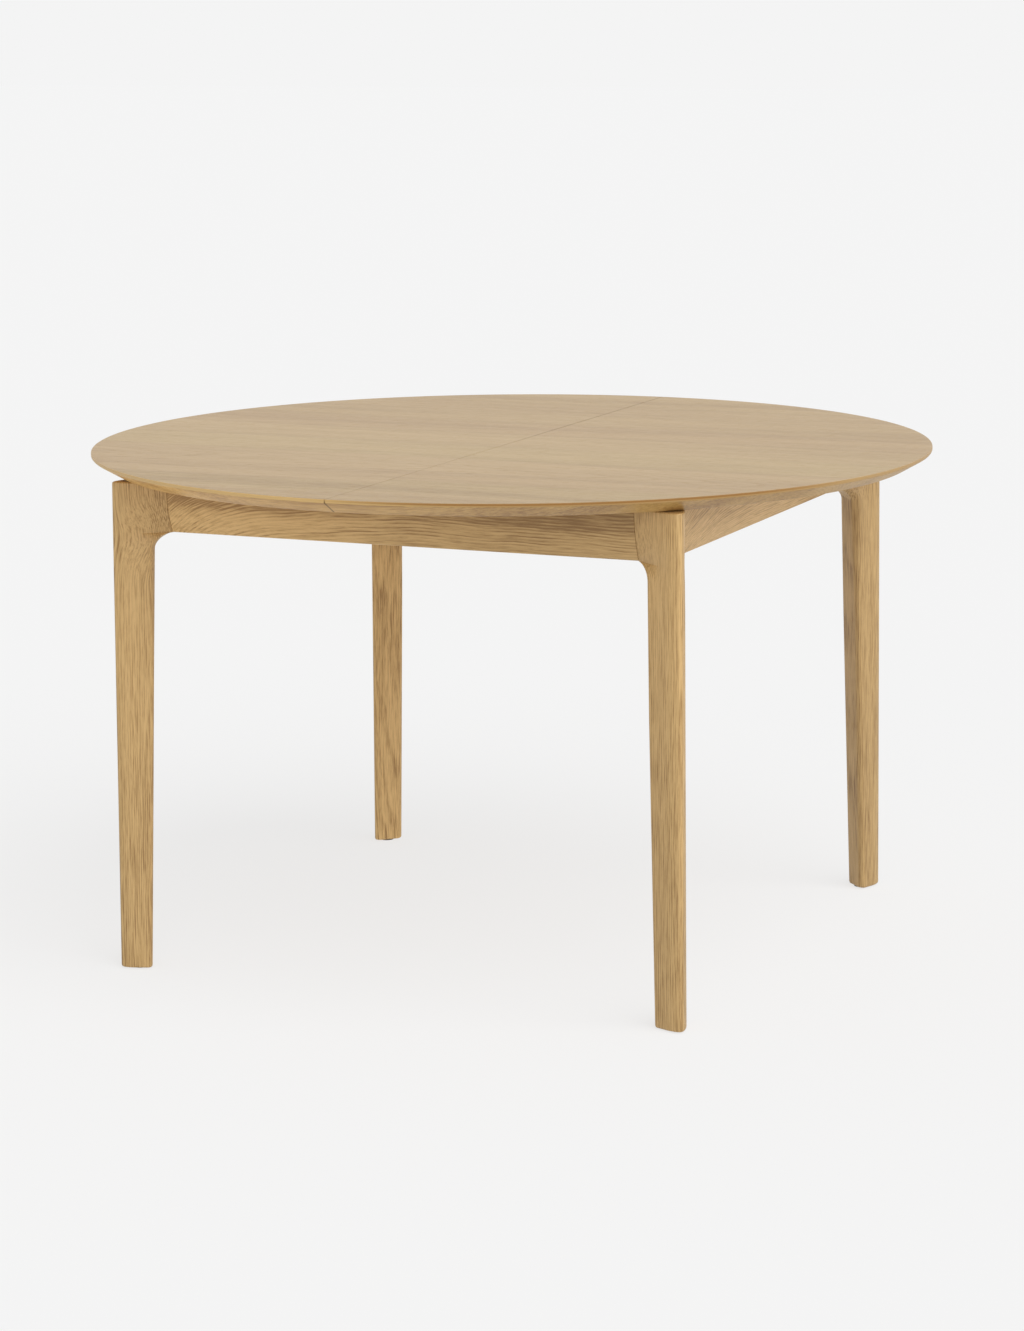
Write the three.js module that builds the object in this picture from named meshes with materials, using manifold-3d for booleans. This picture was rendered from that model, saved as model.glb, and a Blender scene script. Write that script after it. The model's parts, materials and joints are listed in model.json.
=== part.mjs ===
// Round extending dining table in solid oak.
// Two half-round tops slide apart on a fixed four-legged frame and uncover a folded leaf.
// Millimetres, +Z up, X across the seam, Y along the seam. The origin is on the floor under the centre.
import * as THREE from 'three';
import { mergeVertices } from 'three/addons/utils/BufferGeometryUtils.js';
import Module from 'manifold-3d';

const wasm = await Module();
wasm.setup();

// ---------- driving dimensions ----------
const TOP_RADIUS = 645;
const TOP_Z = 760;
const TOP_THICK = 22;
const RIM_HEIGHT = 5; // upright part of the edge
const BEVEL_INSET = 30; // how far the under-bevel runs in
const ARRIS = 1.2; // broken edge of the top
const SEAM_GAP = 0.6; // closed gap between the two halves
const TRAVEL = 250; // how far each half slides out

const FRAME_TOP = 736.5;
const LEG_OUTER = 451; // outer faces of the legs from the centre lines
const LEG_FLAT = 17; // flat stretch of an outer face beside the outer corner
const LEG_CORNER_R = 8;
const GLIDE_THICK = 2;
const HEAD_REACH = 79.5; // leg outer face to the joint with the apron
const APRON_BOTTOM = 659.5;
const APRON_SETBACK = 25; // apron face behind the leg face, at the top
const APRON_CURVE = 17.5; // further set-back at the lower edge
const APRON_INNER = 386; // inner faces of the aprons from the centre lines
const KNEE_R = 24; // fillet under the apron at each leg
const CLEAR = 0.3; // gap between touching pieces

const CHANNEL = { width: 30, height: 21, wall: 2, slot: 12, bottom: 711, halfLength: 368 };
const CHANNEL_Y = APRON_INNER - CLEAR - CHANNEL.width / 2;
const CARRIAGE = { start: 6, end: 112, bar: 24, barHeight: 14, neck: 9, flange: 28 };

const LEAF = { length: 499, thick: TOP_THICK, lowerBottom: 684, upperBottom: 708.5 };
const LEAF_EDGE_Y = TOP_RADIUS / 2; // folded leaf reaches this far to front and back
const PIVOT = { y: -LEAF_EDGE_Y / 2, z: 720, r: 4, eye: 10, armHalf: 12, armThick: 2.5 };
const BRACKET = { wall: 254, plate: 3, foot: 22, half: 16, pinEnd: 262 };
const HINGE = { x: 160, length: 60, barrel: 3.2, pin: 1.6, plate: 1, width: 26 };

const GEAR = { module: 1.5, teeth: 16, y: 343, z: 706, width: 8, bore: 4.1, backlash: 0.4 };
const RACK_BODY = 6.2; // bar behind the teeth
const RACK_REACH = TRAVEL + 13; // the teeth run a little past the full travel

const LOCK = { y: 520, x: 22, plate: 2, plateHalf: 14, arm: 3, post: 4, cap: 7, stud: 3 };
const HOOK = { hub: 10, half: 7, tailHalf: 6, grip: 16 };

// ---------- materials ----------
function surface(color, roughness, metalness) {
  return new THREE.MeshStandardMaterial({ color, roughness, metalness });
}
const MATERIALS = {
  topOak: surface(0xcbb58c, 0.45, 0),
  frameOak: surface(0xb9955f, 0.5, 0),
  beech: surface(0xc9a678, 0.6, 0),
  steel: surface(0xa9abad, 0.35, 0.9),
  aluminium: surface(0xbfc2c4, 0.4, 0.9),
  nylon: surface(0x2b2b2c, 0.55, 0),
  felt: surface(0x6b5a46, 0.95, 0),
};

// ---------- geometry helpers ----------
function plain(geometry) {
  const copy = geometry.clone();
  copy.deleteAttribute('normal');
  copy.deleteAttribute('uv');
  return mergeVertices(copy, 1e-4);
}

function toSolid(geometry) {
  const merged = plain(geometry);
  const vertProperties = new Float32Array(merged.attributes.position.array);
  const triVerts = new Uint32Array(merged.index.array);
  return new wasm.Manifold(new wasm.Mesh({ numProp: 3, vertProperties, triVerts }));
}

function fromSolid(solid) {
  const mesh = solid.getMesh();
  const geometry = new THREE.BufferGeometry();
  geometry.setAttribute('position', new THREE.BufferAttribute(new Float32Array(mesh.vertProperties), 3));
  geometry.setIndex(new THREE.BufferAttribute(new Uint32Array(mesh.triVerts), 1));
  geometry.computeVertexNormals();
  return geometry;
}

function box(x0, x1, y0, y1, z0, z1) {
  const geometry = new THREE.BoxGeometry(x1 - x0, y1 - y0, z1 - z0);
  return geometry.translate((x0 + x1) / 2, (y0 + y1) / 2, (z0 + z1) / 2);
}

// Cylinder of radius r from a to b.
function rod(a, b, r, segments = 24) {
  const from = new THREE.Vector3(...a);
  const axis = new THREE.Vector3(...b).sub(from);
  const geometry = new THREE.CylinderGeometry(r, r, axis.length(), segments);
  const drawnAlong = new THREE.Vector3(0, 1, 0);
  const turn = new THREE.Quaternion().setFromUnitVectors(drawnAlong, axis.clone().normalize());
  geometry.applyQuaternion(turn);
  const middle = from.addScaledVector(axis, 0.5);
  return geometry.translate(middle.x, middle.y, middle.z);
}

function union(...geometries) {
  return fromSolid(geometries.map(toSolid).reduce((a, b) => a.add(b)));
}

function cut(base, ...tools) {
  return fromSolid(tools.map(toSolid).reduce((a, b) => a.subtract(b), toSolid(base)));
}

// Stretch between two distances on one side of the centre line, in rising order.
function stretch(sign, near, far) {
  return sign > 0 ? [near, far] : [-far, -near];
}

function outline(points) {
  return new THREE.Shape(points.map(([x, y]) => new THREE.Vector2(x, y)));
}

// Extrudes an outline drawn in (across, up) along X, from x0 to x1. Across becomes +Y.
function alongX(points, x0, x1) {
  const options = { depth: x1 - x0, bevelEnabled: false };
  const geometry = new THREE.ExtrudeGeometry(outline(points), options);
  const basis = new THREE.Matrix4().makeBasis(
    new THREE.Vector3(0, 1, 0),
    new THREE.Vector3(0, 0, 1),
    new THREE.Vector3(1, 0, 0),
  );
  return geometry.applyMatrix4(basis).translate(x0, 0, 0);
}

// Extrudes an outline drawn in (x, z) along Y, from y0 to y1.
function alongY(points, y0, y1) {
  const geometry = new THREE.ExtrudeGeometry(outline(points), { depth: y1 - y0, bevelEnabled: false });
  return geometry.rotateX(Math.PI / 2).translate(0, y1, 0);
}

// Extrudes an outline drawn in (x, y) upwards, from z0 to z1.
function alongZ(points, z0, z1) {
  const geometry = new THREE.ExtrudeGeometry(outline(points), { depth: z1 - z0, bevelEnabled: false });
  return geometry.translate(0, 0, z0);
}

// Corner rounding: each corner is [x, y, tangent length, steps].
function softened(corners) {
  const points = [];
  corners.forEach(([x, y, tangent, steps], i) => {
    const corner = new THREE.Vector2(x, y);
    const before = corners[(i + corners.length - 1) % corners.length];
    const after = corners[(i + 1) % corners.length];
    const toBefore = new THREE.Vector2(before[0] - x, before[1] - y).normalize();
    const toAfter = new THREE.Vector2(after[0] - x, after[1] - y).normalize();
    const start = corner.clone().addScaledVector(toBefore, tangent);
    const end = corner.clone().addScaledVector(toAfter, tangent);
    const arc = new THREE.QuadraticBezierCurve(start, corner, end);
    arc.getPoints(steps).forEach((p) => points.push([p.x, p.y]));
  });
  return points;
}

// Closed skin through a stack of level outlines with the same number of points each.
function loft(levels) {
  const count = levels[0].points.length;
  const positions = levels.flatMap(({ points, z }) => points.flatMap(([x, y]) => [x, y, z]));
  const index = [];
  for (let k = 0; k + 1 < levels.length; k += 1) {
    for (let i = 0; i < count; i += 1) {
      const a = k * count + i;
      const b = k * count + ((i + 1) % count);
      index.push(a, b, b + count, a, b + count, a + count);
    }
  }
  const cap = (level, flip) => {
    const flat = level.points.map(([x, y]) => new THREE.Vector2(x, y));
    const offset = levels.indexOf(level) * count;
    THREE.ShapeUtils.triangulateShape(flat, []).forEach(([a, b, c]) => {
      const triangle = flip ? [c, b, a] : [a, b, c];
      index.push(...triangle.map((v) => v + offset));
    });
  };
  cap(levels[0], true);
  cap(levels[levels.length - 1], false);
  const geometry = new THREE.BufferGeometry();
  geometry.setAttribute('position', new THREE.Float32BufferAttribute(positions, 3));
  geometry.setIndex(index);
  return geometry;
}

// ---------- assembly helpers ----------
const table = new THREE.Group();
table.name = 'round_extending_table';

function add(name, geometry, material, turn = 0) {
  const mesh = new THREE.Mesh(geometry, material);
  mesh.name = name;
  mesh.rotation.z = turn;
  table.add(mesh);
  return mesh;
}

const QUARTER = Math.PI / 2;
const CORNERS = [
  ['back_right', 0],
  ['back_left', QUARTER],
  ['front_left', 2 * QUARTER],
  ['front_right', 3 * QUARTER],
];
const SIDES = [
  ['front', -1],
  ['back', 1],
];
const ENDS = [
  ['left', -1],
  ['right', 1],
];

// ---------- aprons ----------
const APRON_HEIGHT = FRAME_TOP - APRON_BOTTOM;

// Set-back of the bowed apron face behind the leg face, at height z.
function apronSetback(z) {
  const drop = (FRAME_TOP - z) / APRON_HEIGHT;
  return APRON_SETBACK + APRON_CURVE * drop * drop;
}

function apronOutline() {
  const face = [];
  const steps = 7;
  const lip = 2; // rounding of the lower outer edge
  for (let i = 0; i <= steps; i += 1) {
    const z = APRON_BOTTOM + lip + ((APRON_HEIGHT - lip) * i) / steps;
    face.push([LEG_OUTER - apronSetback(z), z]);
  }
  const lower = LEG_OUTER - apronSetback(APRON_BOTTOM) - lip;
  return [[APRON_INNER, FRAME_TOP], [APRON_INNER, APRON_BOTTOM], [lower, APRON_BOTTOM], ...face];
}

// ---------- legs ----------
// Inner end of the swept face, measured inwards from the leg's outer corner, at height z.
const TIP_HEIGHTS = [0, 444, 637];
const TIP_REACH = [46.1, 55.9, 57.5];
const TIP_DEPTH = [11, 16.5, 17];
const TIP_INNER = [20, 23.5, 30.5]; // depth where the narrow face beside the tip meets the inner facet
const KNEE_START = APRON_BOTTOM - KNEE_R;
const FLAT_SOFTEN = 6; // run-out of a flat face into the swept face
const TIP_ROUND = { shaft: 4, head: 0.4 };
const TIP_DRAFT = 0.5; // how much the narrow face beside the tip leans in
const SECTION_CENTRE = 24; // centre of the leg section, from its outer faces

function between(z, heights, values) {
  const i = z < heights[1] ? 0 : 1;
  const t = Math.min(1, (z - heights[i]) / (heights[i + 1] - heights[i]));
  return THREE.MathUtils.lerp(values[i], values[i + 1], t);
}

function legOutline(z, outerInset, shrink) {
  const kneeRise = THREE.MathUtils.clamp(z - KNEE_START, 0, KNEE_R);
  const kneeOut = KNEE_R - Math.sqrt(KNEE_R * KNEE_R - kneeRise * kneeRise);
  const shaftReach = between(z, TIP_HEIGHTS, TIP_REACH);
  const reach = Math.min(HEAD_REACH, shaftReach + kneeOut);
  const grown = z >= APRON_BOTTOM ? 1 : (reach - shaftReach) / (HEAD_REACH - shaftReach);
  const headReach = z >= APRON_BOTTOM ? HEAD_REACH : reach;
  const shaftDepth = between(z, TIP_HEIGHTS, TIP_DEPTH);
  const shaftInner = between(z, TIP_HEIGHTS, TIP_INNER);
  const headDepth = apronSetback(Math.max(z, APRON_BOTTOM));
  const depth = THREE.MathUtils.lerp(shaftDepth, headDepth, grown) + outerInset;
  const innerDepth = THREE.MathUtils.lerp(shaftInner, LEG_OUTER - APRON_INNER, grown);
  const innerReach = headReach - TIP_DRAFT * (1 - grown);
  const round = THREE.MathUtils.lerp(TIP_ROUND.shaft, TIP_ROUND.head, grown);
  const e = outerInset;
  const corners = [
    [e, e, LEG_CORNER_R, 4],
    [LEG_FLAT, e, FLAT_SOFTEN, 3],
    [headReach, depth, round, 2],
    [innerReach, innerDepth, round, 2],
    [innerDepth, innerReach, round, 2],
    [depth, headReach, round, 2],
    [e, LEG_FLAT, FLAT_SOFTEN, 3],
  ];
  return softened(corners).map(([u, v]) => [
    LEG_OUTER - SECTION_CENTRE - (u - SECTION_CENTRE) * shrink,
    LEG_OUTER - SECTION_CENTRE - (v - SECTION_CENTRE) * shrink,
  ]);
}

// Levels are height, inset of the outer faces, and share of the full section.
function legGeometry() {
  const bend = TIP_HEIGHTS[1];
  const levels = [
    [GLIDE_THICK, 0, 0.9],
    [GLIDE_THICK + 1.2, 0, 0.96],
    [GLIDE_THICK + 4, 0, 1],
    [bend / 2, 0, 1],
    [bend, 0, 1],
    [(bend + KNEE_START) / 2, 0, 1],
  ];
  const kneeSteps = 8;
  for (let i = 0; i < kneeSteps; i += 1) {
    levels.push([KNEE_START + KNEE_R * Math.sin((i / kneeSteps) * QUARTER), 0, 1]);
  }
  const headSteps = 4;
  const edge = 2; // rounding of the top edge
  for (let i = 0; i <= headSteps; i += 1) {
    levels.push([APRON_BOTTOM + ((APRON_HEIGHT - edge) * i) / headSteps, 0, 1]);
  }
  levels.push([FRAME_TOP - edge * 0.3, edge * 0.3, 1]);
  levels.push([FRAME_TOP, edge, 1]);
  return loft(levels.map(([z, inset, shrink]) => ({ z, points: legOutline(z, inset, shrink) })));
}

const BLOCK_REACH = 340; // where a corner block starts along each apron
const BLOCK_FACE = (APRON_INNER - CLEAR + BLOCK_REACH) / 2; // middle of its diagonal face, per axis
const BLOCK_HALF = 16; // half the height of a corner block
const BOLT = { z: 688, r: 4, hole: 4.4, head: 7.2, headThick: 5, depth: 46, holeDepth: 49 };

// A point on the diagonal of the back right corner, at a distance out from the block's inner face.
function onDiagonal(distance) {
  const step = distance / Math.SQRT2;
  return [BLOCK_FACE + step, BLOCK_FACE + step, BOLT.z];
}

function cornerBlock() {
  const near = APRON_INNER - CLEAR;
  const legSide = LEG_OUTER - HEAD_REACH - CLEAR * 2;
  const points = [
    [near, BLOCK_REACH],
    [near, legSide],
    [legSide, near],
    [BLOCK_REACH, near],
  ];
  const block = alongZ(points, BOLT.z - BLOCK_HALF, BOLT.z + BLOCK_HALF);
  return cut(block, rod(onDiagonal(-10), onDiagonal(40), BOLT.hole));
}

function legBolt() {
  const head = new THREE.CylinderGeometry(BOLT.head, BOLT.head, BOLT.headThick, 6);
  head.rotateX(QUARTER).rotateY(QUARTER).rotateZ(QUARTER / 2);
  const [x, y, z] = onDiagonal(-CLEAR - BOLT.headThick / 2);
  head.translate(x, y, z);
  return union(head, rod(onDiagonal(-CLEAR - 1), onDiagonal(BOLT.depth), BOLT.r));
}

const legBlank = legGeometry();
const bolted = cut(legBlank, rod(onDiagonal(10), onDiagonal(BOLT.holeDepth), BOLT.hole));
const FOOT_CENTRE = LEG_OUTER - 23;
const GLIDE_R = 12;
for (const [corner, turn] of CORNERS) {
  add(`leg_${corner}`, bolted, MATERIALS.frameOak, turn);
  add(`corner_block_${corner}`, cornerBlock(), MATERIALS.beech, turn);
  add(`leg_bolt_${corner}`, legBolt(), MATERIALS.steel, turn);
  const glide = rod([FOOT_CENTRE, FOOT_CENTRE, 0], [FOOT_CENTRE, FOOT_CENTRE, GLIDE_THICK], GLIDE_R);
  add(`foot_glide_${corner}`, glide, MATERIALS.nylon, turn);
}

const APRON_HALF = LEG_OUTER - HEAD_REACH - CLEAR;
const APRONS = [
  ['right', -QUARTER],
  ['back', 0],
  ['left', QUARTER],
  ['front', 2 * QUARTER],
];
for (const [side, turn] of APRONS) {
  add(`apron_${side}`, alongX(apronOutline(), -APRON_HALF, APRON_HALF), MATERIALS.frameOak, turn);
}

// Felt strips on the side aprons that carry the halves as they slide out.
const UNDERSIDE = TOP_Z - TOP_THICK;
const STRIP = { inner: 398, outer: 412, half: 300, top: UNDERSIDE - CLEAR };
for (const [end, sign] of ENDS) {
  const [x0, x1] = stretch(sign, STRIP.inner, STRIP.outer);
  const strip = box(x0, x1, -STRIP.half, STRIP.half, FRAME_TOP, STRIP.top);
  add(`felt_strip_${end}`, strip, MATERIALS.felt);
}

// ---------- leaf support rails ----------
const RAIL = { inner: 238, outer: 283, bottom: 661, top: LEAF.lowerBottom - 1 };
for (const [end, sign] of ENDS) {
  const [x0, x1] = stretch(sign, RAIL.inner, RAIL.outer);
  const reach = APRON_INNER - CLEAR;
  add(`leaf_rail_${end}`, box(x0, x1, -reach, reach, RAIL.bottom, RAIL.top), MATERIALS.beech);
}

// ---------- slide channels ----------
function channelOutline(y) {
  const w = CHANNEL.width / 2;
  const s = CHANNEL.slot / 2;
  const t = CHANNEL.wall;
  const low = CHANNEL.bottom;
  const high = CHANNEL.bottom + CHANNEL.height;
  const half = [
    [s, high],
    [s, high - t],
    [w - t, high - t],
    [w - t, low + t],
  ];
  const left = half.map(([a, z]) => [-a, z]).reverse();
  const section = [[-w, low], [w, low], [w, high], ...half, ...left, [-w, high]];
  return section.map(([a, z]) => [a + y, z]);
}

const STOP = { start: 363, end: 367.7 };
for (const [side, sign] of SIDES) {
  const y = sign * CHANNEL_Y;
  const length = CHANNEL.halfLength;
  add(`slide_channel_${side}`, alongX(channelOutline(y), -length, length), MATERIALS.aluminium);
  const half = CHANNEL.width / 2 - CHANNEL.wall - CLEAR;
  const low = CHANNEL.bottom + CHANNEL.wall + CLEAR;
  const high = CHANNEL.bottom + CHANNEL.height - CHANNEL.wall - CLEAR;
  for (const [end, direction] of ENDS) {
    const [x0, x1] = stretch(direction, STOP.start, STOP.end);
    add(`channel_stop_${side}_${end}`, box(x0, x1, y - half, y + half, low, high), MATERIALS.nylon);
  }
}

// ---------- carriages under the two halves ----------
const PLATE_TOP = UNDERSIDE - 0.2;

function carriageOutline(y) {
  const bar = CARRIAGE.bar / 2;
  const neck = CARRIAGE.neck / 2;
  const flange = CARRIAGE.flange / 2;
  const low = CHANNEL.bottom + CHANNEL.wall + 1;
  const barTop = low + CARRIAGE.barHeight;
  const flangeLow = CHANNEL.bottom + CHANNEL.height + 0.7;
  const right = [
    [bar, low],
    [bar, barTop],
    [neck, barTop],
    [neck, flangeLow],
    [flange, flangeLow],
    [flange, PLATE_TOP],
  ];
  const left = right.map(([a, z]) => [-a, z]).reverse();
  return [...right, ...left].map(([a, z]) => [a + y, z]);
}

for (const [side, sign] of SIDES) {
  for (const [end, direction] of ENDS) {
    const [x0, x1] = stretch(direction, CARRIAGE.start, CARRIAGE.end);
    const carriage = alongX(carriageOutline(sign * CHANNEL_Y), x0, x1);
    add(`carriage_${side}_${end}`, carriage, MATERIALS.nylon);
  }
}

// ---------- half-round tops ----------
const DOWEL = { r: 5, hole: 5.4, half: 12, depth: 13, z: TOP_Z - TOP_THICK / 2, places: [-400, 0, 400] };

function topProfile() {
  const rimBottom = TOP_Z - RIM_HEIGHT;
  const points = [
    [0, UNDERSIDE],
    [TOP_RADIUS - BEVEL_INSET, UNDERSIDE],
    [TOP_RADIUS - ARRIS, rimBottom - ARRIS / 2],
    [TOP_RADIUS, rimBottom + ARRIS / 2],
    [TOP_RADIUS, TOP_Z - ARRIS],
    [TOP_RADIUS - ARRIS, TOP_Z],
    [0, TOP_Z],
  ];
  return points.map(([r, z]) => new THREE.Vector2(r, z));
}

// Full disc, turned on the Z axis.
const disc = new THREE.LatheGeometry(topProfile(), 112).rotateX(QUARTER);

function topHalf(direction) {
  const far = TOP_RADIUS + 10;
  const [x0, x1] = stretch(direction, SEAM_GAP / 2, far);
  const keep = box(x0, x1, -far, far, UNDERSIDE - 5, TOP_Z + 5);
  const half = fromSolid(toSolid(disc).intersect(toSolid(keep)));
  const reach = direction * DOWEL.depth;
  const holes = DOWEL.places.map((y) => rod([-reach, y, DOWEL.z], [reach, y, DOWEL.z], DOWEL.hole, 16));
  return cut(half, ...holes);
}

for (const [end, direction] of ENDS) {
  add(`top_half_${end}`, topHalf(direction), MATERIALS.topOak);
}
DOWEL.places.forEach((y, i) => {
  const dowel = rod([-DOWEL.half, y, DOWEL.z], [DOWEL.half - 1, y, DOWEL.z], DOWEL.r, 16);
  add(`alignment_dowel_${i + 1}`, dowel, MATERIALS.beech);
});

// ---------- folded leaf ----------
// One half-leaf outline in (y, z) for z from 0, good face up, bevelled at +y.
function leafOutline(edge) {
  const slope = TOP_THICK - RIM_HEIGHT;
  return [
    [-edge, 0],
    [edge - BEVEL_INSET, 0],
    [edge - ARRIS, slope - 1],
    [edge, slope],
    [edge, LEAF.thick - ARRIS],
    [edge - ARRIS, LEAF.thick],
    [-edge, LEAF.thick],
  ];
}

const FOLD_Z = (LEAF.lowerBottom + LEAF.thick + LEAF.upperBottom) / 2;
const HALF_LENGTH = LEAF.length / 2;
const knuckleRoom = ENDS.map(([, sign]) => {
  const half = HINGE.length / 2 + 1;
  const x = sign * HINGE.x;
  return rod([x - half, -LEAF_EDGE_Y, FOLD_Z], [x + half, -LEAF_EDGE_Y, FOLD_Z], HINGE.barrel + 0.8, 16);
});
const upperOutline = leafOutline(LEAF_EDGE_Y).map(([y, z]) => [y, z + LEAF.upperBottom]);
const lowerTop = LEAF.lowerBottom + LEAF.thick;
const lowerOutline = leafOutline(LEAF_EDGE_Y).map(([y, z]) => [y, lowerTop - z]).reverse();
const upperLeaf = alongX(upperOutline, -HALF_LENGTH, HALF_LENGTH);
const lowerLeaf = alongX(lowerOutline, -HALF_LENGTH, HALF_LENGTH);
add('leaf_half_upper', cut(upperLeaf, ...knuckleRoom), MATERIALS.topOak);
add('leaf_half_lower', cut(lowerLeaf, ...knuckleRoom), MATERIALS.topOak);

// Butt hinges on the undersides, at the fold. The pin is fast in the lower plate's knuckle.
function hingePlate(x, plateZ0, plateZ1, spans) {
  const y0 = -LEAF_EDGE_Y;
  const half = HINGE.length / 2;
  const plate = box(x - half, x + half, y0 + HINGE.barrel * 0.5, y0 + HINGE.width, plateZ0, plateZ1);
  const knuckles = spans.map(([a, b]) => rod([x + a, y0, FOLD_Z], [x + b, y0, FOLD_Z], HINGE.barrel, 16));
  const relief = rod([x - half - 1, y0, FOLD_Z], [x + half + 1, y0, FOLD_Z], HINGE.barrel + CLEAR, 16);
  const web = spans.map(([a, b]) => box(x + a, x + b, y0, y0 + HINGE.barrel + 2, plateZ0, plateZ1));
  return union(cut(plate, relief), ...knuckles, ...web);
}

for (const [end, sign] of ENDS) {
  const x = sign * HINGE.x;
  const third = HINGE.length / 6;
  const half = HINGE.length / 2;
  const lowerSpans = [[-third + CLEAR, third - CLEAR]];
  const upperSpans = [[-half, -third - CLEAR], [third + CLEAR, half]];
  const gap = CLEAR / 2;
  const lower = hingePlate(x, FOLD_Z - gap - HINGE.plate, FOLD_Z - gap, lowerSpans);
  const upper = hingePlate(x, FOLD_Z + gap, FOLD_Z + gap + HINGE.plate, upperSpans);
  const pinLine = (reach) => [[x - reach, -LEAF_EDGE_Y, FOLD_Z], [x + reach, -LEAF_EDGE_Y, FOLD_Z]];
  const pin = rod(...pinLine(half), HINGE.pin, 12);
  const bore = rod(...pinLine(half + 1), HINGE.pin + CLEAR, 12);
  add(`leaf_hinge_${end}_lower`, union(lower, pin), MATERIALS.steel);
  add(`leaf_hinge_${end}_upper`, cut(upper, bore), MATERIALS.steel);
}

// Pivot of the leaf: an arm with a pin on each end of the lower half, and a bracket on the support rail.
function pivotArm(sign) {
  const x0 = HALF_LENGTH + CLEAR;
  const x1 = x0 + PIVOT.armThick;
  const low = LEAF.lowerBottom + 3;
  const foot = box(x0, x1, PIVOT.y - PIVOT.armHalf, PIVOT.y + PIVOT.armHalf, low, PIVOT.z);
  const eye = rod([x0, PIVOT.y, PIVOT.z], [x1, PIVOT.y, PIVOT.z], PIVOT.eye);
  const pin = rod([x0, PIVOT.y, PIVOT.z], [BRACKET.pinEnd, PIVOT.y, PIVOT.z], PIVOT.r);
  const arm = union(foot, eye, pin);
  return sign > 0 ? arm : arm.rotateZ(Math.PI).translate(0, 2 * PIVOT.y, 0);
}

function pivotBracket(sign) {
  const { wall, plate, foot, half } = BRACKET;
  const low = RAIL.top + CLEAR;
  const high = PIVOT.z + PIVOT.eye;
  const profile = [
    [wall, low],
    [wall + foot, low],
    [wall + foot, low + plate],
    [wall + plate, low + plate],
    [wall + plate, high],
    [wall, high],
  ];
  const bracket = alongY(profile, PIVOT.y - half, PIVOT.y + half);
  const hole = rod([wall - 1, PIVOT.y, PIVOT.z], [wall + plate + 1, PIVOT.y, PIVOT.z], PIVOT.r + CLEAR);
  const made = cut(bracket, hole);
  return sign > 0 ? made : made.rotateZ(Math.PI).translate(0, 2 * PIVOT.y, 0);
}

for (const [end, sign] of ENDS) {
  add(`pivot_arm_${end}`, pivotArm(sign), MATERIALS.steel);
  add(`pivot_bracket_${end}`, pivotBracket(sign), MATERIALS.steel);
}

// ---------- synchroniser: two racks and a pinion ----------
const PITCH_R = (GEAR.module * GEAR.teeth) / 2;
const PRESSURE = THREE.MathUtils.degToRad(20);
const ADDENDUM = GEAR.module * 0.9;
const DEDENDUM = GEAR.module * 1.25;

function pinionOutline() {
  const base = PITCH_R * Math.cos(PRESSURE);
  const tip = PITCH_R + ADDENDUM;
  const root = PITCH_R - DEDENDUM;
  const involute = (a) => Math.tan(a) - a;
  const halfTooth = Math.PI / (2 * GEAR.teeth) - GEAR.backlash / 2 / PITCH_R + involute(PRESSURE);
  const flank = [[root, halfTooth - involute(0)]];
  const steps = 4;
  for (let i = 0; i <= steps; i += 1) {
    const r = base + ((tip - base) * i) / steps;
    flank.push([r, halfTooth - involute(Math.acos(base / r))]);
  }
  const points = [];
  for (let k = 0; k < GEAR.teeth; k += 1) {
    const centre = QUARTER - (k * 2 * Math.PI) / GEAR.teeth;
    const rising = flank.map(([r, a]) => [r, centre + a]);
    const falling = flank.map(([r, a]) => [r, centre - a]).reverse();
    points.push(...rising, ...falling);
  }
  return points.map(([r, a]) => [r * Math.cos(a), r * Math.sin(a) + GEAR.z]).reverse();
}

// Toothed bar with its teeth towards the pinion. up is 1 for the lower bar and -1 for the upper one.
function rackOutline(up, from, to, toothFrom, toothTo) {
  const pitch = Math.PI * GEAR.module;
  const line = GEAR.z - up * PITCH_R;
  const rise = ADDENDUM;
  const fall = DEDENDUM;
  const slope = Math.tan(PRESSURE);
  const half = pitch / 4 - GEAR.backlash / 2;
  const teeth = [];
  for (let k = Math.ceil(toothFrom / pitch); k * pitch + pitch < toothTo; k += 1) {
    const centre = (k + 0.5) * pitch;
    teeth.push([centre - half - fall * slope, -fall], [centre - half + rise * slope, rise]);
    teeth.push([centre + half - rise * slope, rise], [centre + half + fall * slope, -fall]);
  }
  const back = -fall - RACK_BODY;
  const shape = [[from, back], [from, -fall], ...teeth, [to, -fall], [to, back]];
  return shape.map(([x, h]) => [x, line + up * h]);
}

const RACK_BACK = PITCH_R + DEDENDUM + RACK_BODY; // back of each bar from the pinion's axis
const RACK_MOUNT = { near: 20, far: 118 };
const RACK_START = 14; // teeth begin just past the pinion
const HANGER = { thick: 4, flange: 7, flangeThick: 2.5, shelf: 3.4 };
const RACK_SIDE = { inner: GEAR.y - GEAR.width / 2, outer: GEAR.y + GEAR.width / 2 };

function upperRack() {
  const { near, far } = RACK_MOUNT;
  const teeth = rackOutline(-1, -far, RACK_REACH, -RACK_START, RACK_REACH);
  const bar = alongY(teeth, RACK_SIDE.inner, RACK_SIDE.outer);
  const pad = box(-far, -near, RACK_SIDE.inner, RACK_SIDE.outer, GEAR.z + RACK_BACK - 1, PLATE_TOP);
  return union(bar, pad);
}

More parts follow.
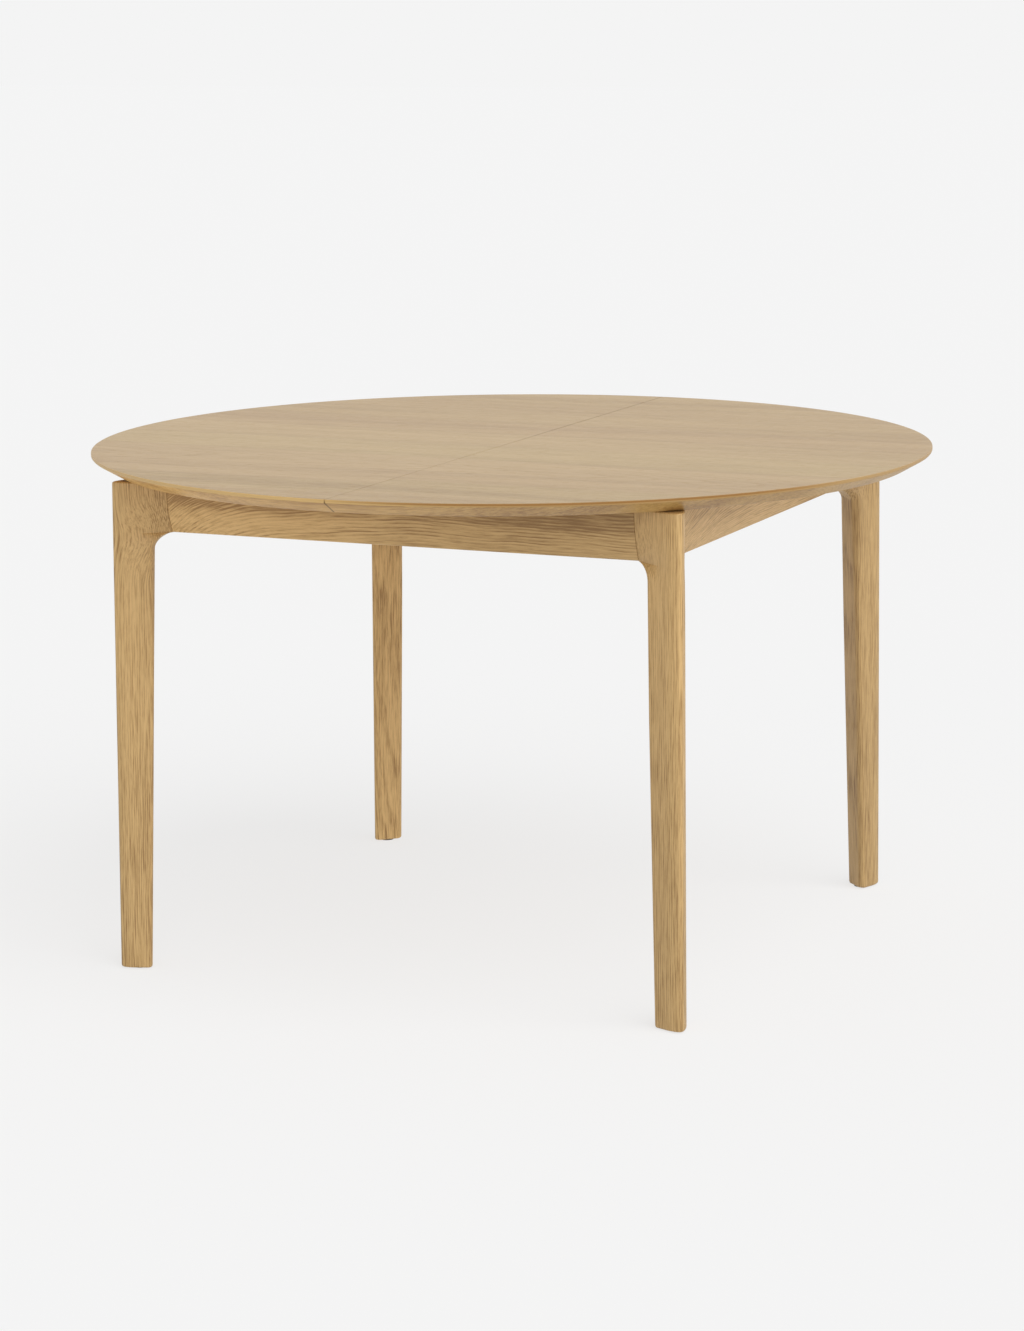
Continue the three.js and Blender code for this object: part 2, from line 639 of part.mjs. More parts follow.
// The lower bar hangs from the right half by a side plate, clear of the upper bar's path.
function lowerRack() {
  const { near, far } = RACK_MOUNT;
  const teeth = rackOutline(1, -RACK_REACH, far, -RACK_REACH, RACK_START).reverse();
  const bar = alongY(teeth, RACK_SIDE.inner, RACK_SIDE.outer);
  const outer = RACK_SIDE.inner - 1;
  const inner = outer - HANGER.thick;
  const shelfTop = GEAR.z - RACK_BACK + 1;
  const low = shelfTop - HANGER.shelf;
  const plate = box(near, far, inner, outer, low, PLATE_TOP);
  const flange = box(near, far, inner - HANGER.flange, outer, PLATE_TOP - HANGER.flangeThick, PLATE_TOP);
  const shelf = box(near, far, inner, RACK_SIDE.outer, low, shelfTop);
  return union(bar, plate, flange, shelf);
}

add('rack_left', upperRack(), MATERIALS.nylon);
add('rack_right', lowerRack(), MATERIALS.nylon);
const pinionBlank = alongY(pinionOutline(), RACK_SIDE.inner, RACK_SIDE.outer);
const pinionBore = rod([0, RACK_SIDE.inner - 1, GEAR.z], [0, RACK_SIDE.outer + 1, GEAR.z], GEAR.bore);
add('sync_pinion', cut(pinionBlank, pinionBore), MATERIALS.nylon);

const AXLE = { r: 4, head: 7, headThick: 3 };
const AXLE_PLATE = { half: 18, thick: 3, below: 11 };
const WALL_Y = CHANNEL_Y - CHANNEL.width / 2 - CLEAR;
const axleHead = RACK_SIDE.inner - 0.5;
add('pinion_axle', union(
  rod([0, axleHead - AXLE.headThick, GEAR.z], [0, axleHead, GEAR.z], AXLE.head),
  rod([0, axleHead - 1, GEAR.z], [0, WALL_Y, GEAR.z], AXLE.r),
), MATERIALS.steel);
const plateLow = GEAR.z - AXLE_PLATE.below;
const plateHigh = CHANNEL.bottom + CHANNEL.height - 1;
const plateHalf = AXLE_PLATE.half;
const bracketPlate = box(-plateHalf, plateHalf, WALL_Y - AXLE_PLATE.thick, WALL_Y, plateLow, plateHigh);
const bracketHole = rod([0, WALL_Y - 5, GEAR.z], [0, WALL_Y + 2, GEAR.z], AXLE.r + CLEAR);
add('pinion_bracket', cut(bracketPlate, bracketHole), MATERIALS.steel);

// ---------- locks under the seam ----------
// The hook swings level about its post on the left half, round onto the stud of the right half.
const LOCK_FACE = UNDERSIDE - 0.2;
const HOOK_TOP = LOCK_FACE - LOCK.plate - 0.5;
const HOOK_LOW = HOOK_TOP - LOCK.arm;

function lockPlate(x, y) {
  const half = LOCK.plateHalf;
  return box(x - half + 2, x + half - 2, y - half, y + half, LOCK_FACE - LOCK.plate, LOCK_FACE);
}

function lockPost(sign) {
  const x = -LOCK.x;
  const y = sign * LOCK.y;
  const post = rod([x, y, HOOK_LOW - 2], [x, y, LOCK_FACE - 1], LOCK.post);
  const cap = rod([x, y, HOOK_LOW - 3], [x, y, HOOK_LOW - 0.5], LOCK.cap);
  return union(lockPlate(x, y), post, cap);
}

function lockKeeper(sign) {
  const x = LOCK.x;
  const y = sign * LOCK.y;
  return union(lockPlate(x, y), rod([x, y, HOOK_LOW - 1], [x, y, LOCK_FACE - 1], LOCK.stud));
}

// Unlocked: the hook points along the seam towards the rim.
function lockHook(sign) {
  const span = 2 * LOCK.x;
  const slot = LOCK.stud + 0.8;
  const hub = rod([0, 0, HOOK_LOW], [0, 0, HOOK_TOP], HOOK.hub);
  const arm = box(-HOOK.half, HOOK.half, 0, span + HOOK.half, HOOK_LOW, HOOK_TOP);
  const grip = rod([0, -HOOK.grip, HOOK_LOW], [0, -HOOK.grip, HOOK_TOP], HOOK.tailHalf);
  const tail = box(-HOOK.tailHalf, HOOK.tailHalf, -HOOK.grip, 0, HOOK_LOW, HOOK_TOP);
  const bore = rod([0, 0, HOOK_LOW - 1], [0, 0, HOOK_TOP + 1], LOCK.post + CLEAR);
  const seat = rod([0, span, HOOK_LOW - 1], [0, span, HOOK_TOP + 1], slot - 0.2, 16);
  const mouth = box(0, HOOK.hub, span - slot, span + slot, HOOK_LOW - 1, HOOK_TOP + 1);
  const hook = cut(union(hub, arm, grip, tail), bore, seat, mouth);
  if (sign < 0) {
    hook.rotateY(Math.PI).rotateZ(Math.PI).translate(0, 0, HOOK_LOW + HOOK_TOP);
  }
  return hook.translate(-LOCK.x, sign * LOCK.y, 0);
}

for (const [side, sign] of SIDES) {
  add(`lock_post_${side}`, lockPost(sign), MATERIALS.steel);
  add(`lock_hook_${side}`, lockHook(sign), MATERIALS.steel);
  add(`lock_keeper_${side}`, lockKeeper(sign), MATERIALS.steel);
}

export default table;
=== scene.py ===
"""Round extending oak table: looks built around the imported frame."""

import json
import math

import bmesh
import bpy
from mathutils import Matrix, Vector


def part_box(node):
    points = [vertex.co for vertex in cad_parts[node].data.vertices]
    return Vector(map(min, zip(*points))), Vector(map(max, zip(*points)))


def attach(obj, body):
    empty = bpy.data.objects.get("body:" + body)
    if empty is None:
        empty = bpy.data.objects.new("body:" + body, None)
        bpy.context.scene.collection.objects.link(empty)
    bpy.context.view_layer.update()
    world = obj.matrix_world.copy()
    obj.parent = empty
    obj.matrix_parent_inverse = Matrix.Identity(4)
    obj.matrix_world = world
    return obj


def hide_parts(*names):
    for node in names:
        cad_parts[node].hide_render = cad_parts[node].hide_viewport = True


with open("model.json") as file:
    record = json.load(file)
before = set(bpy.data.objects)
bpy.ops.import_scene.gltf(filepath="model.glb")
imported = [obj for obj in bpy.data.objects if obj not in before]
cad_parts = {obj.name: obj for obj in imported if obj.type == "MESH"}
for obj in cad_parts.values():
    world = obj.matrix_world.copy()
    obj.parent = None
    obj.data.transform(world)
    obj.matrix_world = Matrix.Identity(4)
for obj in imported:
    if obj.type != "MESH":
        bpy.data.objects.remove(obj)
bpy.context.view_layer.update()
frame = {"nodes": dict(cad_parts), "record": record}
nodes = frame["nodes"]
MM = 0.001

# ---------- sizes worked out from the frame ----------
TOP_LOW, TOP_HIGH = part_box("top_half_right")
TOP_RADIUS = TOP_HIGH.x
TOP_Z = TOP_HIGH.z
UNDERSIDE = TOP_LOW.z
SEAM_X = TOP_LOW.x
LEG_LOW, LEG_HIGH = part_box("leg_back_right")
LEG_OUTER = LEG_HIGH.x
FRAME_TOP = LEG_HIGH.z
LEG_BOTTOM = LEG_LOW.z
HEAD_REACH = LEG_OUTER - LEG_LOW.x
APRON_LOW, APRON_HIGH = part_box("apron_back")
APRON_BOTTOM = APRON_LOW.z
APRON_INNER = APRON_LOW.y
APRON_HALF = APRON_HIGH.x
APRON_SETBACK = LEG_OUTER - APRON_HIGH.y

# ---------- sizes of the sculpted parts, as in the CAD source ----------
RIM_HEIGHT = 5 * MM  # upright part of the top's edge
BEVEL_INSET = 30 * MM  # how far the under-bevel runs in
APRON_CURVE = 17.5 * MM  # further set-back of an apron's face at its lower edge
LEG_FLAT = 17 * MM  # flat stretch of a leg's outer face beside the outer corner
LEG_CORNER = 8 * MM
KNEE_R = 24 * MM
# A tip is where a leg's swept face ends. At three heights: how far the tip reaches along the leg's outer
# face, how far behind that face it lies, and where the inner facet starts. Fitted to the photo's outlines.
TIP_HEIGHTS = (0, 444 * MM, 637 * MM)
TIP_REACH = (46.1 * MM, 55.9 * MM, 57.5 * MM)
TIP_DEPTH = (11 * MM, 16.5 * MM, 17 * MM)
TIP_INNER = (20 * MM, 23.5 * MM, 30.5 * MM)
TIP_DRAFT = 0.5 * MM  # how much the narrow face beside a tip leans in
SECTION_CENTRE = 24 * MM

# ---------- roundings and gaps of the visual model's own ----------
FLAT_SOFTEN = 8.8 * MM  # run-out of a flat face into the swept face
MIDDLE_PLACE = 0.55  # an extra corner in the swept face, as a share of the way to the tip
MIDDLE_SOFTEN = 5.5 * MM
SWEEP_START = APRON_BOTTOM - 40 * MM  # between these heights the extra corner moves from shaft to head
SWEEP_END = APRON_BOTTOM + 20 * MM
SHAFT_TIP = 4.2 * MM  # rounding of a tip below the knee
HEAD_TIP = 0.9 * MM  # rounding of a tip at the head
FOOT_ROUND = 4 * MM  # height over which a leg narrows to its lower end
FOOT_SHRINK = 0.91  # section at the lower end, as a share of the full one
HEAD_ROUND = 2.6 * MM  # rounding of a leg's upper end
HOLE_CLEARANCE = 0.4 * MM  # gap round bolts and dowels

# ---------- mesh helpers ----------


def object_from(name, vertices, faces, material, sharp=35):
    mesh = bpy.data.meshes.new(name)
    mesh.from_pydata([tuple(v) for v in vertices], [], faces)
    tidy = bmesh.new()
    tidy.from_mesh(mesh)
    bmesh.ops.recalc_face_normals(tidy, faces=tidy.faces)
    tidy.to_mesh(mesh)
    tidy.free()
    mesh.materials.append(material)
    mesh.polygons.foreach_set("use_smooth", [True] * len(mesh.polygons))
    mesh.set_sharp_from_angle(angle=math.radians(sharp))
    piece = bpy.data.objects.new(name, mesh)
    bpy.context.scene.collection.objects.link(piece)
    return piece


def sides(rows, count, closed=True):
    """Faces between neighbouring rows of count points each."""
    faces = []
    for k in range(rows - 1):
        for i in range(count if closed else count - 1):
            a, b = k * count + i, k * count + (i + 1) % count
            faces.append((a, b, b + count, a + count))
    return faces


def loft(rings):
    """Vertices and faces of a closed skin through rings with the same number of points."""
    count = len(rings[0])
    vertices = [point for ring in rings for point in ring]
    faces = sides(len(rings), count)
    faces.append(tuple(range(count))[::-1])
    last = (len(rings) - 1) * count
    faces.append(tuple(range(last, last + count)))
    return vertices, faces


def softened(corners, closed=True):
    """Rounds the corners of an outline. Each corner is (x, y, tangent length, steps)."""
    points = []
    count = len(corners)
    for i, (x, y, tangent, steps) in enumerate(corners):
        corner = Vector((x, y))
        ends = not closed and i in (0, count - 1)
        if ends or tangent == 0:
            points.append(corner)
            continue
        before = Vector(corners[i - 1][:2])
        after = Vector(corners[(i + 1) % count][:2])
        start = corner + (before - corner).normalized() * tangent
        end = corner + (after - corner).normalized() * tangent
        for k in range(steps + 1):
            t = k / steps
            points.append(start * (1 - t) ** 2 + corner * 2 * t * (1 - t) + end * t * t)
    return points


def bevel(piece, width, angle=40):
    """Rounds the edges that turn by more than angle, in degrees."""
    modifier = piece.modifiers.new("edge", "BEVEL")
    modifier.width = width
    modifier.segments = 2
    modifier.limit_method = "ANGLE"
    modifier.angle_limit = math.radians(angle)
    modifier.harden_normals = True


def apply_modifiers(piece):
    """Bakes a piece's modifiers into its mesh."""
    bpy.context.view_layer.update()
    graph = bpy.context.evaluated_depsgraph_get()
    made = bpy.data.meshes.new_from_object(piece.evaluated_get(graph))
    piece.modifiers.clear()
    piece.data = made


def rod(name, start, end, radius, material):
    segments = 32
    axis = Vector(end) - Vector(start)
    turn = axis.to_track_quat("Z", "Y").to_matrix()
    rings = []
    for distance in (0, axis.length):
        ring = []
        for k in range(segments):
            a = 2 * math.pi * k / segments
            local = Vector((radius * math.cos(a), radius * math.sin(a), distance))
            ring.append(Vector(start) + turn @ local)
        rings.append(ring)
    return object_from(name, *loft(rings), material)


def drill(piece, start, end, radius):
    """Cuts a round hole from start to end into a piece."""
    bit = rod("bit", start, end, radius, piece.data.materials[0])
    cut = piece.modifiers.new("hole", "BOOLEAN")
    cut.object = bit
    cut.operation = "DIFFERENCE"
    cut.solver = "EXACT"
    apply_modifiers(piece)
    bpy.data.objects.remove(bit)


# ---------- material helpers ----------


def new_tree(name):
    material = bpy.data.materials.new(name)
    material.use_nodes = True
    material.node_tree.nodes.clear()
    return material, material.node_tree


def add(tree, kind, inputs=None, **settings):
    node = tree.nodes.new("ShaderNode" + kind)
    for key, value in settings.items():
        setattr(node, key, value)
    for key, value in (inputs or {}).items():
        if isinstance(value, bpy.types.NodeSocket):
            tree.links.new(value, node.inputs[key])
        else:
            node.inputs[key].default_value = value
    return node


def calc(tree, operation, a, b=0.0, c=0.0, clamp=False):
    node = add(tree, "Math", {0: a, 1: b, 2: c}, operation=operation, use_clamp=clamp)
    return node.outputs[0]


def vector_calc(tree, operation, a, b=(0.0, 0.0, 0.0), output="Vector"):
    return add(tree, "VectorMath", {0: a, 1: b}, operation=operation).outputs[output]


def scaled(tree, colour, gain):
    return add(tree, "VectorMath", {0: colour, "Scale": gain}, operation="SCALE").outputs[0]


def split(tree, vector):
    return add(tree, "SeparateXYZ", {0: vector}).outputs[:3]


def object_place(tree):
    return add(tree, "TexCoord").outputs["Object"]


def smooth(tree, value, low, high, to_low=0.0, to_high=1.0):
    inputs = {"Value": value, "From Min": low, "From Max": high, "To Min": to_low, "To Max": to_high}
    return add(tree, "MapRange", inputs, interpolation_type="SMOOTHSTEP").outputs[0]


def blend(tree, factor, a, b):
    """Colour mix. The sockets are numbered, because their names repeat for each data type."""
    return add(tree, "Mix", {0: factor, 6: a, 7: b}, data_type="RGBA").outputs[2]


def noise(tree, place, scale, detail=2.0, roughness=0.5):
    """Noise stretched by a scale for each axis, in features per metre."""
    stretched = vector_calc(tree, "MULTIPLY", place, scale)
    inputs = {"Vector": stretched, "Scale": 1.0, "Detail": detail, "Roughness": roughness}
    return add(tree, "TexNoise", inputs).outputs[0]


def finish_shader(tree, colour, roughness, height, bump, **fixed):
    """Principled shader with bump. What is fixed is set on the shader's own sockets."""
    inputs = {"Height": height, "Strength": bump, "Distance": 0.3 * MM}
    normal = add(tree, "Bump", inputs).outputs[0]
    inputs = {"Base Color": colour, "Roughness": roughness, "Normal": normal}
    shader = add(tree, "BsdfPrincipled", inputs)
    for key, value in fixed.items():
        shader.inputs[key.replace("_", " ")].default_value = value
    output = add(tree, "OutputMaterial")
    tree.links.new(shader.outputs[0], output.inputs[0])


def rgb(red, green, blue):
    return (red, green, blue, 1.0)


def toned(colour, gain, blue_gain=None):
    """A colour made lighter or darker. Blue may have a gain of its own."""
    red, green, blue = colour[:3]
    return rgb(red * gain, green * gain, blue * (blue_gain or gain))


# ---------- wood ----------
# Grain directions, as the order in which an object's X, Y and Z become along, across and deep.
ALONG_X_FLAT = (0, 1, 2)
ALONG_X_EDGE = (0, 2, 1)
ALONG_Y_EDGE = (1, 2, 0)
ALONG_Z = (2, 0, 1)

# Each wood's tones, from light over middle to dark.
OAK_TONES = (rgb(0.62, 0.405, 0.170), rgb(0.50, 0.315, 0.122), rgb(0.29, 0.160, 0.052))
# The top's tones are paler and greyer than the bevel's. On its upper face, this paleness is partly a painted
# sheen, the grazing reflection of its finish, over the oak's own colour.
TOP_TONES = (rgb(0.51, 0.36, 0.165), rgb(0.42, 0.285, 0.118), rgb(0.27, 0.155, 0.055))
BEVEL_TONES = (rgb(0.64, 0.40, 0.135), rgb(0.51, 0.30, 0.090), rgb(0.31, 0.155, 0.036))
BEECH_TONES = (rgb(0.63, 0.44, 0.25), rgb(0.55, 0.36, 0.19), rgb(0.36, 0.21, 0.10))
WARM_BOARD = rgb(0.50, 0.30, 0.17)
RIM_PLAIN = rgb(0.42, 0.26, 0.095)
# The rim's pale tone is a painted highlight, where the rounding catches the light. Its golden tone is a
# painted dark reflection on the upper arris.
RIM_PAINTED_HIGHLIGHT = rgb(0.62, 0.41, 0.160)
RIM_PAINTED_REFLECTION = rgb(0.25, 0.112, 0.014)
GLUE_LINE = rgb(0.13, 0.070, 0.025)
SEAM_LINE = rgb(0.17, 0.095, 0.016)

# Directions from the middle of the top to the stretch of its rim with the painted highlight, pale, and to the
# one with the painted dark reflection, golden.
PALE_SIDE = (-0.5, -0.87, 0.0)
GOLD_SIDE = (0.57, -0.82, 0.0)

# Joints between the boards from front to back, in the left and in the right half of the top, and how dark
# each board is. Both follow the changes of tone in the photo.
BOARD_EDGES = [(left * MM, right * MM) for left, right in (
    (-571, -545), (-476, -431), (-335, -335), (-194, -194), (-53, -53),
    (90, 90), (222, 222), (355, 355), (480, 480))]
BOARD_SHADES = (0.10, 0.12, 0.08, 0.0, -0.04, -0.06, 0.12, 0.09, 0.16, 0.08)
BOARD_JUMP = (3.0, 0.4, 0.0)  # how far apart two boards' grain may be, in metres

# Layers of the figure: features per metre along, across and deep into the grain.
WANDER_SCALE = (1.6, 9.0, 9.0)
RIPPLE_SCALE = (9.0, 60.0, 60.0)
PATCH_SCALE = (5.0, 60.0, 60.0)
FIBRE_SCALE = (20.0, 460.0, 460.0)
CLOUD_SCALE = (1.5, 20.0, 20.0)
PORE_SCALE = (55.0, 1300.0, 1300.0)
RIPPLE_REACH = 2.5 * MM
RING_PEAK = 0.16  # share of a growth ring where its early wood is at its darkest
RING_FADE = 0.75  # share where it has faded out


def grain_space(tree, order):
    """Object space, with its axes in the order along, across and deep into the grain."""
    parts = split(tree, object_place(tree))
    return add(tree, "CombineXYZ", {i: parts[axis] for i, axis in enumerate(order)}).outputs[0]


def shifted(tree, grain, offset):
    """The grain space with an offset added across the grain."""
    move = add(tree, "CombineXYZ", {1: offset}).outputs[0]
    return vector_calc(tree, "ADD", grain, move)


def swept(start, rise, length):
    """Grain that climbs steeply at start along the piece, then runs level."""

    def bend(tree, grain):
        along = split(tree, grain)[0]
        run = calc(tree, "MULTIPLY", calc(tree, "SUBTRACT", along, start), -1 / length)
        climb = calc(tree, "MULTIPLY", calc(tree, "EXPONENT", run), rise)
        wave = noise(tree, grain, (6.0, 6.0, 6.0), 1.0)
        return shifted(tree, grain, calc(tree, "MULTIPLY_ADD", wave, 20 * MM, climb))

    return bend


def swirled(centre, radius, push):
    """Straight grain that is pushed aside round one point, as round a covered knot."""

    def bend(tree, grain):
        away = vector_calc(tree, "DISTANCE", grain, centre, output="Value")
        share = calc(tree, "MULTIPLY", away, 1 / radius)
        squared = calc(tree, "MULTIPLY", share, share)
        bump = calc(tree, "EXPONENT", calc(tree, "MULTIPLY", squared, -1.0))
        wave = calc(tree, "MULTIPLY", noise(tree, grain, (2.5, 2.5, 2.5), 1.0), 8 * MM)
        return shifted(tree, grain, calc(tree, "MULTIPLY_ADD", bump, push, wave))

    return bend


# The next three give the distance from the pith. Only the boards of the top have a random vector, chance.


def rings_level(tree, grain, chance):
    """Growth rings that lie across the face and tilt with depth."""
    across, deep = split(tree, grain)[1:]
    return calc(tree, "MULTIPLY_ADD", deep, 0.35, across)


def rings_round(tree, grain, chance):
    """Rings about a line through the origin, well away from the piece, which gives rift-sawn figure."""
    across, deep = split(tree, grain)[1:]
    flat = add(tree, "CombineXYZ", {0: across, 1: deep}).outputs[0]
    return vector_calc(tree, "LENGTH", flat, output="Value")


def rings_flat_sawn(tree, grain, chance):
    """Rings about a pith that lies under each board and tilts a little, which gives cathedral figure."""
    along, across, deep = split(tree, grain)
    chances = split(tree, chance)
    aside = calc(tree, "MULTIPLY_ADD", chances[0], 160 * MM, -80 * MM)
    below = calc(tree, "MULTIPLY_ADD", chances[1], 70 * MM, 35 * MM)
    tilt = calc(tree, "MULTIPLY_ADD", chances[2], 0.08, -0.04)
    u = calc(tree, "ADD", across, aside)
    height = calc(tree, "SUBTRACT", deep, TOP_Z)
    v = calc(tree, "ADD", calc(tree, "MULTIPLY_ADD", along, tilt, below), height)
    squares = calc(tree, "ADD", calc(tree, "MULTIPLY", u, u), calc(tree, "MULTIPLY", v, v))
    return calc(tree, "SQRT", squares)


def boards(tree, grain):
    """Boards side by side: (grain space of each board, its random vector, its shade, glue line)."""
    along, across = split(tree, grain)[:2]
    right = calc(tree, "GREATER_THAN", along, 0.0)
    number, shade, nearest = 0.0, BOARD_SHADES[0], 1.0
    for (left_edge, right_edge), before, after in zip(BOARD_EDGES, BOARD_SHADES, BOARD_SHADES[1:]):
        edge = calc(tree, "MULTIPLY_ADD", right, right_edge - left_edge, left_edge)
        gap = calc(tree, "SUBTRACT", across, edge)
        past = calc(tree, "GREATER_THAN", gap, 0.0)
        number = calc(tree, "ADD", number, past)
        shade = calc(tree, "MULTIPLY_ADD", past, after - before, shade)
        nearest = calc(tree, "MINIMUM", nearest, calc(tree, "ABSOLUTE", gap))
    chance = add(tree, "TexWhiteNoise", {"W": number}, noise_dimensions="1D").outputs["Color"]
    glue = smooth(tree, nearest, 0.2 * MM, 0.8 * MM, 1.0, 0.0)
    jump = vector_calc(tree, "MULTIPLY", chance, BOARD_JUMP)
    return vector_calc(tree, "ADD", grain, jump), chance, shade, glue


def painted_light_and_tone_gain(front, back=None, low=1.0):
    """Gain on a colour that paints light and shade: (left, right) at the front and at the back, and a share
    of it low down. On the legs, part of it is also their own tone.
    """

    def gain(tree):
        x, y, z = split(tree, object_place(tree))
        near, far = [smooth(tree, x, -LEG_OUTER, LEG_OUTER, *ends) for ends in (front, back or front)]
        behind = smooth(tree, y, -LEG_OUTER, LEG_OUTER)
        level = calc(tree, "MULTIPLY_ADD", calc(tree, "SUBTRACT", far, near), behind, near)
        return calc(tree, "MULTIPLY", level, smooth(tree, z, 100 * MM, 600 * MM, low, 1.0))

    return gain


def tinted(tree, tone, tones):
    """Colour for a tone that runs from 0, light, over one half, middle, to 1, dark."""
    light, middle, dark = tones
    lower = calc(tree, "MULTIPLY", tone, 2.0, clamp=True)
    upper = calc(tree, "MULTIPLY_ADD", tone, 2.0, -1.0, clamp=True)
    return blend(tree, upper, blend(tree, lower, light, middle), dark)


def bevel_colour(tree, tone):
    """The under-bevel, which cuts across the figure and so shows it more strongly. Its tones are the oak's
    own, more saturated than the top's paler tones, which are partly painted sheen. Its gain, lighter at the
    left and darker at the right, is painted light.
    """
    strong = calc(tree, "MULTIPLY_ADD", tone, 1.7, -0.28)
    return scaled(tree, tinted(tree, strong, BEVEL_TONES), painted_light_and_tone_gain(front=(1.30, 0.84))(tree))


def rim_painted_light(tree, x, y, z):
    """Where the upright rim is, and its colour: its plain tone, with a painted highlight, pale, at the left
    and a painted dark reflection, golden, at the front right, strongest on its upper part.
    """
    flat = add(tree, "CombineXYZ", {0: x, 1: y}).outputs[0]
    radius = vector_calc(tree, "LENGTH", flat, output="Value")
    outer = smooth(tree, radius, TOP_RADIUS - 0.9 * MM, TOP_RADIUS - 0.3 * MM)
    unit = vector_calc(tree, "NORMALIZE", flat)
    toward_pale = vector_calc(tree, "DOT_PRODUCT", unit, PALE_SIDE, output="Value")
    toward_gold = vector_calc(tree, "DOT_PRODUCT", unit, GOLD_SIDE, output="Value")
    pale = smooth(tree, toward_pale, 0.55, 0.92)
    golden = smooth(tree, toward_gold, 0.76, 0.97, 0.1, 0.95)
    high = smooth(tree, z, TOP_Z - 3.8 * MM, TOP_Z - 2.6 * MM, 0.25, 1.0)
    gold = calc(tree, "MULTIPLY", golden, high)
    return outer, blend(tree, gold, blend(tree, pale, RIM_PLAIN, RIM_PAINTED_HIGHLIGHT), RIM_PAINTED_REFLECTION)


def seam_strength(tree, x, y, z, under):
    """How dark the seam is: faint in front, darker behind and darkest below. The seam is a dark joint, and
    its darkening behind and below is painted shade. The stored leaf has none.
    """
    close = smooth(tree, calc(tree, "ABSOLUTE", x), 0.9 * MM, 1.6 * MM, 1.0, 0.0)
    within = calc(tree, "GREATER_THAN", z, UNDERSIDE - 1 * MM)
    above = smooth(tree, y, -100 * MM, 150 * MM, 0.14, 0.62)
    strength = calc(tree, "MAXIMUM", above, calc(tree, "MULTIPLY", under, 0.9))
    return calc(tree, "MULTIPLY", calc(tree, "MULTIPLY", close, within), strength)


def top_colour(tree, tone, colour, chance, glue):
    """The top's touches: warmer boards; bevel tones below, against a paler upper face that is partly painted
    sheen; glue lines; the rim with its painted highlight and painted reflection; and the seam, darkened by
    painted shade behind and below. Also its grooves.
    """
    spot = add(tree, "TexCoord")
    x, y, z = split(tree, spot.outputs["Object"])
    facing_up = split(tree, spot.outputs["Normal"])[2]
    under = smooth(tree, facing_up, -0.4, 0.3, 1.0, 0.0)
    warm = smooth(tree, split(tree, chance)[0], 0.0, 1.0, 0.0, 0.18)
    colour = blend(tree, warm, colour, WARM_BOARD)
    colour = blend(tree, under, colour, bevel_colour(tree, tone))
    line = calc(tree, "MULTIPLY", glue, calc(tree, "MULTIPLY_ADD", under, 0.35, 0.25))
    colour = blend(tree, line, colour, GLUE_LINE)
    outer, rim = rim_painted_light(tree, x, y, z)
    colour = blend(tree, outer, colour, rim)
    seam = seam_strength(tree, x, y, z, under)
    return blend(tree, seam, colour, SEAM_LINE), calc(tree, "MAXIMUM", line, seam)


def shaded_top_edge(tree):
    """Added tone that stands in for the shade close under the top, which the soft lights leave too weak."""
    z = split(tree, object_place(tree))[2]
    return smooth(tree, z, 688 * MM, 709 * MM, 0.0, 0.58)


def early_wood(tree, grain, distance, spacing, drift):
    """The dark part of each growth ring. The rings wander by drift along the grain, and ripple."""
    wander = noise(tree, grain, WANDER_SCALE, 2.0)
    ripple = noise(tree, grain, RIPPLE_SCALE, 3.0)
    distance = calc(tree, "MULTIPLY_ADD", wander, drift, distance)
    distance = calc(tree, "MULTIPLY_ADD", ripple, RIPPLE_REACH, distance)
    turns = calc(tree, "FRACT", calc(tree, "DIVIDE", distance, spacing))
    rising = smooth(tree, turns, 0.0, RING_PEAK)
    falling = smooth(tree, turns, RING_PEAK, RING_FADE, 1.0, 0.0)
    return calc(tree, "MULTIPLY", rising, falling)


def worn_edges(tree, colour, light):
    edge = smooth(tree, add(tree, "NewGeometry").outputs["Pointiness"], 0.53, 0.62, 0.0, 0.18)
    return blend(tree, edge, colour, light)


